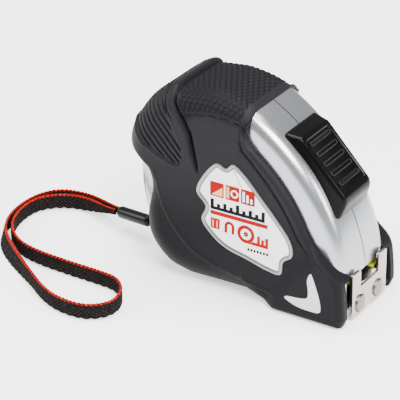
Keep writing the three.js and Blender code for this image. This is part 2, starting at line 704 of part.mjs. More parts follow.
const [nearShell, farShell] = shellHalves();
add('near_shell', nearShell, 'silver');
add('far_shell', farShell, 'silver');
add('near_grip', gripHalfSolid(-1), 'rubber');
add('far_grip', gripHalfSolid(1), 'rubber');
add('label_plate', labelPlate(), 'label');
add('near_foot_badge', badge(-1), 'silver');
add('far_foot_badge', badge(1), 'silver');
add('mouth_bumper', bumperBar(0), 'rubber');
add('blade_guide', bladeGuide(), 'plastic');
add('arbor', arbor(), 'steel');
add('reel_drum', drum(), 'plastic');
add('reel_cap', reelCap(), 'plastic');
add('power_spring', powerSpring(), 'steel');
add('blade_coil', coil(), 'blade');
add('blade', blade(), 'blade');
add('hook', hook(), 'nickel');
rivetSpots.forEach((spot, i) => add(`hook_rivet_${i + 1}`, rivet(spot), 'nickel'));
add('near_magnet', magnet(-1), 'nickel');
add('far_magnet', magnet(1), 'nickel');
add('lock_button', lockButton(), 'gloss');
add('lock_arm', lockArm(), 'plastic');
add('brake_pad', brakePad(), 'rubber');
for (const [name, place] of Object.entries(screwPlaces)) {
  add(`case_screw_${name}`, screw(place, -caseHalf + wall + 1.6, screwSeat, screwSeat + screwHeadThick), 'steel');
}
add('belt_clip', beltClip(), 'steel');
const clipSeat = gripHalf + 2 * gap + clipThick;
add('clip_screw', screw(clipScrewPlace, caseHalf - wall - 0.6, clipSeat, clipSeat + screwHeadThick), 'steel');
add('strap_pin', yRod(pinPlace, pinRadius, -9, 9, 12), 'steel');
add('strap_cord', strapCord(), 'strap');
add('strap_ferrule', strapFerrule(), 'gloss');
add('strap_webbing', strapWebbing(), 'strap');

export default tape;
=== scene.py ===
"""A pocket tape measure: silver case, charcoal rubber grip, sliding lock, magnetic hook and wrist strap."""
import json
import math
from bisect import bisect_right

import bmesh
import bpy
import numpy as np
from mathutils import Matrix, Vector

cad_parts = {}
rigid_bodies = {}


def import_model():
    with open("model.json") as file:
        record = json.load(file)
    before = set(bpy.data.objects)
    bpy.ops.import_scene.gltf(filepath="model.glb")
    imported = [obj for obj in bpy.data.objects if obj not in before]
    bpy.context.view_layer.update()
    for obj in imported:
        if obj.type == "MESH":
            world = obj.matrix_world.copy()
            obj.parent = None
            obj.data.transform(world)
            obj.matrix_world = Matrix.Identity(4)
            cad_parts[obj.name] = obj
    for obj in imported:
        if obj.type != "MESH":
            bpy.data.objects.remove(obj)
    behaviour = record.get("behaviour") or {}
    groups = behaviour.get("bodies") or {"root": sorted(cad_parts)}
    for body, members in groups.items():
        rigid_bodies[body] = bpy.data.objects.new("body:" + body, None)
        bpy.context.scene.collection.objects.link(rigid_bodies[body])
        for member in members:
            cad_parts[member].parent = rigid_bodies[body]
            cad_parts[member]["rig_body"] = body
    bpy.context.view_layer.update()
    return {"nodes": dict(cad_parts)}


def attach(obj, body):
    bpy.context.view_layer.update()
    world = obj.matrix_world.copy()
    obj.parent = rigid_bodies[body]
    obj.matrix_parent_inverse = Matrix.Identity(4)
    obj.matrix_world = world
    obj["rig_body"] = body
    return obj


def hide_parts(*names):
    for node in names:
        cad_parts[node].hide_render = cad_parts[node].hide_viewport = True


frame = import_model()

MM = 0.001
scene = bpy.context.scene


# ---------------------------------------------------------------- camera
def camera():
    data = bpy.data.cameras.new("studio_camera")
    data.lens = 201.6
    data.sensor_width = 36
    data.clip_end = 10
    eye = bpy.data.objects.new("studio_camera", data)
    turn, tilt = math.radians(31.55), math.radians(27.1)
    look = Vector((-math.sin(turn) * math.cos(tilt), math.cos(turn) * math.cos(tilt), -math.sin(tilt)))
    eye.location = Vector((359.8, -635.9, 406.1)) * MM
    eye.rotation_euler = look.to_track_quat("-Z", "Y").to_euler()
    scene.collection.objects.link(eye)
    scene.camera = eye


camera()


# ---------------------------------------------------------------- curves and pieces
def smooth(t):
    t = min(max(t, 0.0), 1.0)
    return t * t * (3 - 2 * t)


def ramp(t):
    """smooth() for a whole array."""
    t = np.clip(t, 0.0, 1.0)
    return t * t * (3 - 2 * t)


def spline(keys, count):
    """count steps along a smooth line through the keys."""
    out = []
    last = len(keys) - 1
    for k in range(count + 1):
        t = k / count * last
        i = min(int(t), last - 1)
        w = t - i
        a, b, c, d = (Vector(keys[min(max(j, 0), last)]) for j in (i - 1, i, i + 1, i + 2))
        m0, m1 = (c - a) / 2, (d - b) / 2
        out.append(b * (2 * w**3 - 3 * w**2 + 1) + m0 * (w**3 - 2 * w**2 + w)
                   + c * (3 * w**2 - 2 * w**3) + m1 * (w**3 - w**2))
    return out


def even(points, count, closed=True):
    """count points at equal spacing along a line."""
    line = [Vector(p) for p in points] + ([Vector(points[0])] if closed else [])
    reach = [0.0]
    for a, b in zip(line, line[1:]):
        reach.append(reach[-1] + (b - a).length)
    out = []
    for k in range(count):
        s = reach[-1] * k / (count if closed else count - 1)
        i = min(max(bisect_right(reach, s), 1), len(line) - 1)
        share = (s - reach[i - 1]) / max(reach[i] - reach[i - 1], 1e-9)
        out.append(line[i - 1].lerp(line[i], min(share, 1.0)))
    return out


def ring_spline(keys, count):
    """A closed smooth line through the keys, evenly spaced."""
    n = len(keys)
    loop = [Vector(keys[i % n]) for i in range(-2, n + 3)]
    fine = spline(loop, (n + 4) * 24)
    return even(fine[2 * 24:(n + 2) * 24], count)


def inset_ring(ring, distance):
    """A closed outline moved inwards (outwards if negative), whichever way round it runs."""
    n = len(ring)
    area = sum(ring[i].x * ring[(i + 1) % n].y - ring[(i + 1) % n].x * ring[i].y for i in range(n))
    turn = 1 if area > 0 else -1
    out = []
    for i in range(n):
        way = (ring[(i + 1) % n] - ring[i - 1]).normalized()
        out.append(ring[i] + Vector((-way.y, way.x)) * distance * turn)
    return out


def make(bm, name, body, looks, angle=40):
    """Turns a bmesh in millimetres into a smooth-shaded piece that rides on a body."""
    bmesh.ops.transform(bm, matrix=Matrix.Scale(MM, 4), verts=bm.verts)
    bmesh.ops.recalc_face_normals(bm, faces=bm.faces)
    for face in bm.faces:
        face.smooth = True
    for edge in bm.edges:
        edge.smooth = len(edge.link_faces) == 2 and edge.calc_face_angle(0) < math.radians(angle)
    mesh = bpy.data.meshes.new(name)
    bm.to_mesh(mesh)
    bm.free()
    piece = bpy.data.objects.new(name, mesh)
    scene.collection.objects.link(piece)
    for look in looks if isinstance(looks, (list, tuple)) else [looks]:
        mesh.materials.append(look)
    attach(piece, body)
    return piece


def sweep(bm, rings, cap_first=False, cap_last=False, closed=True):
    """Extrudes the first ring's edges through the others. Each ring is a list of 3-D points of one length."""
    mark = bm.verts.layers.int.get("mark") or bm.verts.layers.int.new("mark")
    start = []
    for i, co in enumerate(rings[0]):
        v = bm.verts.new(co)
        v[mark] = i
        start.append(v)
    pairs = zip(start, start[1:] + start[:1]) if closed else zip(start, start[1:])
    edges = [bm.edges.new(pair) for pair in pairs]
    if cap_first:
        bm.faces.new(start)
    for ring in rings[1:]:
        grown = bmesh.ops.extrude_edge_only(bm, edges=edges)["geom"]
        edges = [g for g in grown if isinstance(g, bmesh.types.BMEdge)]
        edges = [e for e in edges if all(len(v.link_faces) <= 2 for v in e.verts)]
        for v in {v for e in edges for v in e.verts}:
            v.co = ring[v[mark]]
        edges = [e for e in edges if len(e.link_faces) == 1]
    if cap_last:
        bmesh.ops.contextual_create(bm, geom=edges)
    return edges


def cad_mesh(name, merge=0.002):
    """A CAD piece's mesh in millimetres, with its facets joined."""
    bm = bmesh.new()
    bm.from_mesh(frame["nodes"][name].data)
    bmesh.ops.transform(bm, matrix=Matrix.Scale(1 / MM, 4), verts=bm.verts)
    bmesh.ops.remove_doubles(bm, verts=bm.verts, dist=merge)
    bmesh.ops.dissolve_limit(bm, angle_limit=math.radians(0.6), verts=bm.verts, edges=bm.edges)
    return bm


def refine(node, look, name, round_mm=0.0, segments=2, angle=35):
    """A CAD piece with rounded edges and smooth shading."""
    bm = cad_mesh(node)
    if round_mm:
        sharp = [e for e in bm.edges if len(e.link_faces) == 2 and e.calc_face_angle(0) > math.radians(angle)]
        bmesh.ops.bevel(bm, geom=sharp, offset=round_mm, offset_type="OFFSET", segments=segments, profile=0.5,
                        affect="EDGES", material=-1, clamp_overlap=True)
    bmesh.ops.triangulate(bm, faces=[f for f in bm.faces if len(f.verts) > 4])
    piece = make(bm, name, frame["nodes"][node]["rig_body"], look, angle)
    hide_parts(node)
    return piece


# ---------------------------------------------------------------- materials
def new_look(name):
    look = bpy.data.materials.new(name)
    look.use_nodes = True
    return look, look.node_tree, look.node_tree.nodes["Principled BSDF"]


def add(tree, kind, values=None, **settings):
    """A node with its settings and the constants on its sockets."""
    made = tree.nodes.new(kind)
    for key, value in settings.items():
        setattr(made, key, value)
    for key, value in (values or {}).items():
        made.inputs[key].default_value = value
    return made


def wire(tree, source, out, target, into):
    tree.links.new(source.outputs[out], target.inputs[into])


def grain_group():
    """Fine sandy relief and a soft colour drift, shared by the moulded pieces."""
    group = bpy.data.node_groups.new("moulded_grain", "ShaderNodeTree")
    for name, kind, way in [("Size", "NodeSocketFloat", "INPUT"), ("Relief", "NodeSocketFloat", "INPUT"),
                            ("Normal", "NodeSocketVector", "OUTPUT"), ("Drift", "NodeSocketFloat", "OUTPUT")]:
        group.interface.new_socket(name, in_out=way, socket_type=kind)
    put, get = group.nodes.new("NodeGroupInput"), group.nodes.new("NodeGroupOutput")
    place = add(group, "ShaderNodeTexCoord")
    fine = add(group, "ShaderNodeTexNoise", {"Detail": 3.0, "Roughness": 0.6})
    wide = add(group, "ShaderNodeTexNoise", {"Scale": 90.0, "Detail": 2.0})
    bump = add(group, "ShaderNodeBump", {"Distance": 0.0002})
    wire(group, place, "Object", fine, "Vector")
    wire(group, place, "Object", wide, "Vector")
    wire(group, put, "Size", fine, "Scale")
    wire(group, put, "Relief", bump, "Strength")
    wire(group, fine, "Fac", bump, "Height")
    wire(group, bump, "Normal", get, "Normal")
    wire(group, wide, "Fac", get, "Drift")
    return group


GRAIN = grain_group()


def grained(name, color, rough, metal=0.0, size=2500.0, relief=0.15, drift=0.12, coat=0.0, specular=0.5):
    """A moulded or painted finish with fine relief and slight wear in its gloss."""
    look, tree, shader = new_look(name)
    grain = add(tree, "ShaderNodeGroup", {}, node_tree=GRAIN)
    grain.inputs["Size"].default_value = size
    grain.inputs["Relief"].default_value = relief
    shade = add(tree, "ShaderNodeMapRange", {"To Min": 1 - drift, "To Max": 1 + drift})
    tint = add(tree, "ShaderNodeVectorMath", {0: color}, operation="SCALE")
    gloss = add(tree, "ShaderNodeMapRange", {"To Min": rough * 0.88, "To Max": min(rough * 1.12, 1)})
    wire(tree, grain, "Drift", shade, "Value")
    wire(tree, grain, "Drift", gloss, "Value")
    wire(tree, shade, "Result", tint, "Scale")
    wire(tree, tint, "Vector", shader, "Base Color")
    wire(tree, gloss, "Result", shader, "Roughness")
    wire(tree, grain, "Normal", shader, "Normal")
    shader.inputs["Metallic"].default_value = metal
    shader.inputs["Coat Weight"].default_value = coat
    shader.inputs["Coat Roughness"].default_value = 0.08
    shader.inputs["Specular IOR Level"].default_value = specular
    return look


def rubber_look():
    """Charcoal rubber with painted shade, darker in its grooves, creases, scale rims and towards the bottom with less
    specular there, and painted light that makes it a little paler on the chamfer under the top grip.
    """
    look = grained("charcoal_rubber", (0.0080, 0.0073, 0.0092), 0.56, size=3000, relief=0.22, specular=0.13)
    tree, shader = look.node_tree, look.node_tree.nodes["Principled BSDF"]
    # The groove attribute holds painted shade and painted light: high values darken the colour and lower the specular,
    # negative values lighten the colour.
    groove = add(tree, "ShaderNodeAttribute", {}, attribute_name="groove")
    level = add(tree, "ShaderNodeMapRange", {"From Min": -1.0, "From Max": 1.0, "To Min": 1.75, "To Max": 0.12})
    tint = add(tree, "ShaderNodeVectorMath", {}, operation="SCALE")
    shine = add(tree, "ShaderNodeMapRange", {"From Min": 0.0, "From Max": 1.0, "To Min": 0.13, "To Max": 0.02})
    base = shader.inputs["Base Color"].links[0].from_socket
    wire(tree, groove, "Fac", level, "Value")
    wire(tree, groove, "Fac", shine, "Value")
    tree.links.new(base, tint.inputs[0])
    wire(tree, level, "Result", tint, "Scale")
    wire(tree, tint, "Vector", shader, "Base Color")
    wire(tree, shine, "Result", shader, "Specular IOR Level")
    return look


rubber = rubber_look()
dark_rubber = grained("bumper_rubber", (0.008, 0.0075, 0.0085), 0.7, size=3000, relief=0.2, specular=0.2)
silver = grained("satin_silver_paint", (0.40, 0.41, 0.43), 0.25, 0.9, size=5000, relief=0.03, drift=0.02)
badge_look = grained("badge_silver", (0.56, 0.54, 0.58), 0.4, 0.2, size=4000, relief=0.03, drift=0.02)
stud_look = grained("turned_nickel", (0.20, 0.175, 0.165), 0.30, 1.0, size=1500, relief=0.03, drift=0.05)
nickel = grained("nickel_plate", (0.42, 0.365, 0.345), 0.24, 1.0, size=1500, relief=0.03, drift=0.05)
steel = grained("plain_steel", (0.5, 0.5, 0.52), 0.33, 1.0, size=1800, relief=0.06, drift=0.08)
gloss = grained("polished_black", (0.002, 0.002, 0.0024), 0.2, size=1200, relief=0.02, drift=0.1, specular=0.09)
sleeve_look = grained("sleeve_black", (0.005, 0.0052, 0.006), 0.30, size=1200, relief=0.03, specular=0.16)
rib_look = grained("rib_edges", (0.004, 0.004, 0.0045), 0.3, size=1200, relief=0.02, drift=0.1, specular=0.25)
plastic = grained("dark_moulding", (0.016, 0.016, 0.018), 0.5, size=2500, relief=0.12)
white = grained("label_face", (0.86, 0.86, 0.87), 0.22, size=3000, relief=0.02, drift=0.01, coat=0.4)
rim_look = grained("label_rim_silver", (0.24, 0.24, 0.25), 0.32, 0.7, size=4000, relief=0.03, drift=0.02)
# Painted shade: dark grey for the ring in the groove between the label's rim and its face.
groove_shade_look = grained("label_groove_painted_shade", (0.10, 0.10, 0.105), 0.4, size=4000, relief=0.03, specular=0.1)
red_ink = grained("label_red", (0.30, 0.002, 0.001), 0.35, size=3000, relief=0.02, drift=0.05, specular=0.04)
black_ink = grained("label_black", (0.006, 0.006, 0.007), 0.35, size=3000, relief=0.02, drift=0.05, specular=0.04)
pale_ink = grained("label_peach", (0.80, 0.36, 0.22), 0.35, size=3000, relief=0.02, drift=0.05, specular=0.04)
floor_look = grained("floor_paper", (0.93, 0.93, 0.93), 0.8, size=400, relief=0.0, drift=0.004)


def blade_look():
    """Yellow-green lacquer with black millimetre ticks along the edges and longer ticks every centimetre."""
    look, tree, shader = new_look("blade_lacquer")
    place = add(tree, "ShaderNodeTexCoord")
    part = add(tree, "ShaderNodeSeparateXYZ")
    wire(tree, place, "Object", part, "Vector")

    def math_node(kind, a, b=None):
        made = add(tree, "ShaderNodeMath", {}, operation=kind)
        for socket, value in zip((0, 1), (a, b)):
            if isinstance(value, (int, float)):
                made.inputs[socket].default_value = value
            elif value is not None:
                tree.links.new(value, made.inputs[socket])
        return made.outputs[0]

    x, y = part.outputs["X"], part.outputs["Y"]
    across = math_node("ABSOLUTE", y)
    every = math_node("ABSOLUTE", math_node("SUBTRACT", math_node("FRACT", math_node("MULTIPLY", x, 1000.0)), 0.5))
    tick = math_node("MULTIPLY", math_node("GREATER_THAN", every, 0.36), math_node("GREATER_THAN", across, 0.0088))
    half = math_node("ABSOLUTE", math_node("SUBTRACT", math_node("FRACT", math_node("MULTIPLY", x, 100.0)), 0.5))
    long_tick = math_node("MULTIPLY", math_node("GREATER_THAN", half, 0.47), math_node("GREATER_THAN", across, 0.0052))
    marks = math_node("MAXIMUM", tick, long_tick)
    mix = add(tree, "ShaderNodeMix", {}, data_type="RGBA")
    mix.inputs["A"].default_value = (0.60, 0.66, 0.03, 1)
    mix.inputs["B"].default_value = (0.01, 0.01, 0.01, 1)
    tree.links.new(marks, mix.inputs["Factor"])
    wire(tree, mix, "Result", shader, "Base Color")
    grain = add(tree, "ShaderNodeGroup", {"Size": 2500.0, "Relief": 0.05}, node_tree=GRAIN)
    wire(tree, grain, "Normal", shader, "Normal")
    shader.inputs["Roughness"].default_value = 0.32
    return look


def strap_look(name, dark, light):
    """Woven polyester: a painted highlight makes the yarns paler where they rise, with stray lighter fibres."""
    look, tree, shader = new_look(name)
    # The yarn attribute is a painted highlight on the raised yarns.
    yarn = add(tree, "ShaderNodeAttribute", {}, attribute_name="yarn")
    place = add(tree, "ShaderNodeTexCoord")
    noise = add(tree, "ShaderNodeTexNoise", {"Scale": 1400.0, "Detail": 3.0})
    fibres = add(tree, "ShaderNodeMapRange", {"From Min": 0.35, "From Max": 0.7, "To Min": 0.15, "To Max": 1.3})
    blend = add(tree, "ShaderNodeMath", {}, operation="MULTIPLY", use_clamp=True)
    mix = add(tree, "ShaderNodeMix", {}, data_type="RGBA")
    mix.inputs["A"].default_value = (*dark, 1)
    mix.inputs["B"].default_value = (*light, 1)
    bump = add(tree, "ShaderNodeBump", {"Strength": 0.5, "Distance": 0.0002})
    wire(tree, place, "Object", noise, "Vector")
    wire(tree, noise, "Fac", fibres, "Value")
    wire(tree, yarn, "Fac", blend, 0)
    wire(tree, fibres, "Result", blend, 1)
    wire(tree, blend, "Value", mix, "Factor")
    wire(tree, mix, "Result", shader, "Base Color")
    wire(tree, noise, "Fac", bump, "Height")
    wire(tree, bump, "Normal", shader, "Normal")
    shader.inputs["Roughness"].default_value = 0.9
    shader.inputs["Specular IOR Level"].default_value = 0.05
    return look


blade_paint = blade_look()
strap_dark = strap_look("strap_weave", (0.0022, 0.0018, 0.0018), (0.046, 0.034, 0.031))
strap_red = strap_look("strap_selvedge", (0.10, 0.003, 0.002), (0.50, 0.016, 0.008))

for body_look, names in {
    silver: "near_shell far_shell",
    rubber: "near_grip far_grip brake_pad",
    white: "label_plate",
    badge_look: "near_foot_badge far_foot_badge",
    dark_rubber: "mouth_bumper",
    plastic: "blade_guide reel_drum reel_cap lock_arm",
    steel: "arbor power_spring case_screw_rear_top case_screw_rear_bottom case_screw_front belt_clip clip_screw strap_pin",
    blade_paint: "blade_coil blade",
    nickel: "hook hook_rivet_1 hook_rivet_2 hook_rivet_3 near_magnet far_magnet",
    gloss: "lock_button",
    sleeve_look: "strap_ferrule",
    strap_dark: "strap_cord strap_webbing",
}.items():
    for name in names.split():
        slots = frame["nodes"][name].data.materials
        slots.clear()
        slots.append(body_look)

# ---------------------------------------------------------------- wrist strap
STRAP_ROUTE = [
    (-70.7, 5.6, 6.7), (-78, 8.4, 5.1), (-86.5, 10.9, 3.6), (-94, 11, 3.3), (-99.4, 9.4, 3.3), (-103.5, 5.7, 3.3),
    (-106.1, -0.3, 3.3), (-106.9, -8.3, 3.3), (-105.6, -17.8, 3.3), (-102.1, -26, 3.3), (-96.2, -32.8, 3.3),
    (-86.9, -40.6, 3.3), (-74.2, -50.2, 3.3), (-61.3, -58.8, 3.3), (-51.3, -62.3, 3.3), (-41.6, -61.9, 3.3),
    (-35.8, -57, 3.3), (-34.8, -50.2, 3.3), (-38.1, -43.2, 3.3), (-43.8, -39.2, 3.3), (-52, -38.3, 3.3),
    (-64, -38, 3.3), (-77.8, -37.1, 3.3), (-87.6, -34.9, 3.3), (-95.3, -30.1, 3.3), (-100.8, -23.6, 3.3),
    (-104, -16, 3.3), (-105.1, -8.2, 3.3), (-104.1, -1.4, 3.3), (-99.9, 4.2, 3.3), (-93.6, 7.6, 3.3),
    (-86.4, 8.1, 3.6), (-78, 5.7, 5.1), (-71.1, 3.4, 6.7)]
STRAP_WIDTH, STRAP_THICK = 6.3, 1.4
STRAP_UPS = [-1, -0.985, -0.94, -0.86] + [-0.75 + 0.115 * i for i in range(12)] + [0.62, 0.7, 0.77, 0.81, 0.90, 0.96, 1]


def strap_point(reach, up, side):
    """Half thickness, height over the middle and how raised the yarn is, at a place on the strap's face; the last also
    sets the yarn's painted highlight.
    """
    red = up > 0.75
    if red:
        bulge = 0.50 * math.sqrt(max(0.0, 1 - ((up - 0.89) / 0.135) ** 2))
        twist = 0.5 + 0.5 * math.sin(math.tau * (reach / 1.7 + side * 0.25 + up))
        return 0.06 + bulge * (0.74 + 0.26 * twist), up + 0.035 * math.sin(math.tau * reach / 1.7), twist
    row = (up + 1) / 0.23
    along = reach / 1.7 + 0.5 * (int(row) % 2)
    raised = math.sin(math.pi * (row % 1)) ** 2 * (0.5 - 0.5 * math.cos(math.tau * along))
    rib = 0.5 - 0.5 * math.cos(math.tau * reach / 3.4)
    soft = math.sqrt(max(0.0, 1 - max(0.0, (-up - 0.86) / 0.14) ** 2))
    groove = 0.14 * smooth((up - 0.62) / 0.1)
    return 0.06 + (0.40 + 0.15 * raised + 0.07 * rib - groove) * soft, up + 0.11 * rib * smooth(-up * 2 - 1), raised


def wrist_strap():
    """Flat webbing on its edge: raised yarns on its faces, a red cord along its top and a scalloped lower edge."""
    line = even(spline(STRAP_ROUTE, 900), 1250, closed=False)
    section = [(1, up) for up in STRAP_UPS] + [(-1, up) for up in reversed(STRAP_UPS)]
    length = sum((a - b).length for a, b in zip(line, line[1:]))
    rings, raised, reach = [], [], 0.0
    for i, at in enumerate(line):
        ahead = line[min(i + 1, len(line) - 1)] - line[max(i - 1, 0)]
        out = Vector((ahead.y, -ahead.x, 0)).normalized()
        reach += (at - line[i - 1]).length if i else 0
        half = 1.3 + (STRAP_WIDTH / 2 - 1.3) * smooth(min(reach, length - reach) / 21)
        lean = 0.42 * smooth((reach - 56) / 24) * smooth((114 - reach) / 32)
        low = at - Vector((0, 0, (1 - math.cos(lean)) * half))
        ring = []
        for side, up in section:
            thick, height, yarn = strap_point(reach, up, side)
            tall = height * half
            ring.append(low + out * (thick * side * math.cos(lean) + (half - tall) * math.sin(lean))
                        + Vector((0, 0, max(tall * math.cos(lean) - thick * side * math.sin(lean), 0.12 - low.z))))
            raised.append((yarn, reach, up))
        rings.append(ring)
    bm = bmesh.new()
    # Painted highlight: how raised each yarn is, stored to lighten its colour.
    yarn_highlight_layer = bm.verts.layers.float.new("yarn")
    sweep(bm, rings, cap_first=True, cap_last=True)
    mark = bm.verts.layers.int["mark"]
    for i, v in enumerate(bm.verts):
        v[yarn_highlight_layer] = raised[i // len(section) * len(section) + v[mark]][0]
    for face in bm.faces:
        face.material_index = int(sum(section[v[mark]][1] for v in face.verts) / len(face.verts) > 0.76)
    piece = make(bm, "wrist_strap", "case", [strap_dark, strap_red], 60)
    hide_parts("strap_webbing")


sleeve = refine("strap_ferrule", sleeve_look, "strap_sleeve", 0.4, 3)
wrist_strap()

# ---------------------------------------------------------------- outlines of the case
MIDDLE = Vector((-5, 36))
FRONT_CENTRE = Vector((-37.5, 4.5))
FRONT_RADIUS = 78.2
GRIP_HALF, FOOT_HALF, CASE_HALF = 19.5, 21.75, 16.5


def polar(degrees, radius):
    a = math.radians(degrees)
    return FRONT_CENTRE + Vector((radius * math.cos(a), radius * math.sin(a)))


def arc(start, end, radius, count):
    return [polar(start + (end - start) * i / count, radius) for i in range(count + 1)]


def grip_outline():
    lip = [Vector((0.2, 70)), Vector((0.3, 66)), Vector((1.2, 62.8))]
    edge = arc(53, 25, FRONT_RADIUS - 9.4, 70)
    foot = spline([edge[-1], (28.7, 28.1), (34.9, 22.6), (39.8, 17.6), (41.2, 10), (41.6, 3)], 90)
    base = [Vector((x, 0)) for x in (40.4, 30, 20, 10, 0, -10, -18)]
    heel = spline([(-26, 0), (-35.2, 2.4), (-41.6, 7.6), (-45.4, 14), (-45.8, 20), (-43.8, 27.4), (-42.6, 35), (-44.2, 41.5),
                   (-48, 46), (-51, 50), (-50.8, 55), (-48, 61.8), (-43, 69), (-37, 74.3), (-32, 76.9)], 90)
    dome = spline([(-30.2, 76.4), (-24, 77.2), (-17.8, 77.7), (-10, 76.8), (-4, 75.2), (0.2, 73.4)], 30)
    return lip + edge + foot[1:] + base + heel + dome


def edge_round(q):
    x, z = q
    if z < 30:
        return 11 - 8 * smooth((x + 4) / 18) if x > 0 else 11 - 4 * smooth((z - 16) / 12)
    if z > 71:
        return 9.5 if x < -0.5 else 7
    return 2.3 if x > -0.5 else 7 + 2.5 * smooth((z - 45) / 10)


def flank(q):
    return GRIP_HALF + (FOOT_HALF - GRIP_HALF) * smooth((q[0] * 0.8 - q[1] * 0.6 - 4) / 6)


def seam_level(q, side):
    """Where the visible rubber starts: at the seam over the back, and beside the hard case in front."""
    x, z = q
    if x > 14 and z < 17:
        return 16.85
    return 13.0 if x > 0.25 and 0.5 < z < 69 else side + 0.04


def fold(P, line):
    """Signed distance of points to a line of points, positive on its left, and how far along it they are."""
    best = np.full(len(P), 1e9)
    side = np.zeros(len(P))
    along = np.zeros(len(P))
    reach = 0.0
    for a, b in zip(line, line[1:]):
        a, b = np.array(a, float), np.array(b, float)
        d = b - a
        size = math.hypot(*d)
        t = np.clip(((P - a) @ d) / (size * size), 0, 1)
        off = P - (a + t[:, None] * d)
        gap = np.hypot(off[:, 0], off[:, 1])
        near = gap < best
        best = np.where(near, gap, best)
        side = np.where(near, np.sign(d[0] * off[:, 1] - d[1] * off[:, 0]), side)
        along = np.where(near, reach + t * size, along)
        reach += size
    return best * side, along


def depth_in(P, polygon):
    """Distance inside a closed polygon, negative outside."""
    ring = np.array([tuple(p) for p in polygon] + [tuple(polygon[0])], float)
    away, _ = fold(P, ring)
    inside = np.zeros(len(P), bool)
    for (x1, z1), (x2, z2) in zip(ring, ring[1:]):
        cross = (z1 > P[:, 1]) != (z2 > P[:, 1])
        with np.errstate(divide="ignore", invalid="ignore"):
            at = x1 + (P[:, 1] - z1) * (x2 - x1) / (z2 - z1)
        inside ^= cross & (P[:, 0] < at)
    return np.where(inside, 1, -1) * np.abs(away)


# ---------------------------------------------------------------- rubber grip
BAND_FRONT = [(-20.3, 43.5), (-21, 47.5), (-22.5, 54), (-24, 61), (-27.7, 67.2), (-30.9, 71.5), (-31.1, 77), (-31.1, 82)]
BAND_CREASE = [(-29, 64.6), (-31.6, 67.6), (-33.4, 70.6), (-34.3, 74), (-34.6, 80)]
PATCH = [(-56, 66.5), (-49, 78), (-39, 81), (-35.6, 77), (-33, 71), (-30.6, 64), (-28.2, 58.4), (-25.8, 54.8),
         (-25.2, 51.6), (-26.8, 48.4), (-29.5, 47), (-32.8, 48.1), (-36.9, 49.7), (-42.6, 52.9), (-46.3, 56.6), (-48.6, 61.2)]
SCALE_EDGE = [(-31, 65.6), (-28, 66.9), (-24.9, 68.6), (-21.1, 69.9), (-16.9, 70.7), (-12.8, 70.9), (-8.6, 70.8),
              (-4.5, 70), (0.8, 68.2), (3, 67)]
BEVEL_EDGE = [(-30, 60.6), (-24.2, 63.4), (-20, 64.5), (-14.5, 65.2), (-9.5, 65.1), (-4.2, 63.7), (2, 60.5), (5, 58)]
FRONT_LINE = [(-2.8, 72), (-3.0, 68), (-2.9, 64.5), (-1.6, 60.2), (4.0, 54.9), (9.4, 49.3), (14.2, 43.4), (18.4, 37.2),
              (22.0, 30.6), (26.6, 25.7), (31.6, 21.2), (35.4, 16.6), (37.2, 11), (37.6, 4)]
RIDGE = [(-39.8, 46), (-38.7, 42.1), (-36.8, 35.2), (-34.7, 29.6), (-31.7, 24.2), (-27.3, 18.7), (-23, 14.9),
         (-18.7, 12.8), (-13.5, 10.9), (-8, 9.6), (-1.6, 8.1), (8, 6.6), (16, 5.6)]
LABEL_KEYS = [(-12.1, 52.5), (-7.7, 51.6), (-4.5, 53.9), (1, 50), (7, 43.6), (13, 37.2), (19.1, 29.6), (20.2, 23.6),
              (16.6, 20.3), (15.4, 14.9), (9.4, 15.1), (1.4, 17.2), (-7.5, 19.4), (-13.6, 23.2), (-17.9, 28.6),
              (-16.2, 34.4), (-20.1, 39.6), (-17.4, 46.3)]
BADGE_KEYS = [(28.6, 20), (27.4, 17), (27.9, 12.5), (27.4, 9.8), (24.1, 8.9), (19.2, 8.4), (18.6, 7.2), (23.1, 5.3),
              (28.4, 4.8), (32.3, 5.1), (33.2, 6.8), (32.5, 11), (31, 15.4), (29.5, 19.2)]


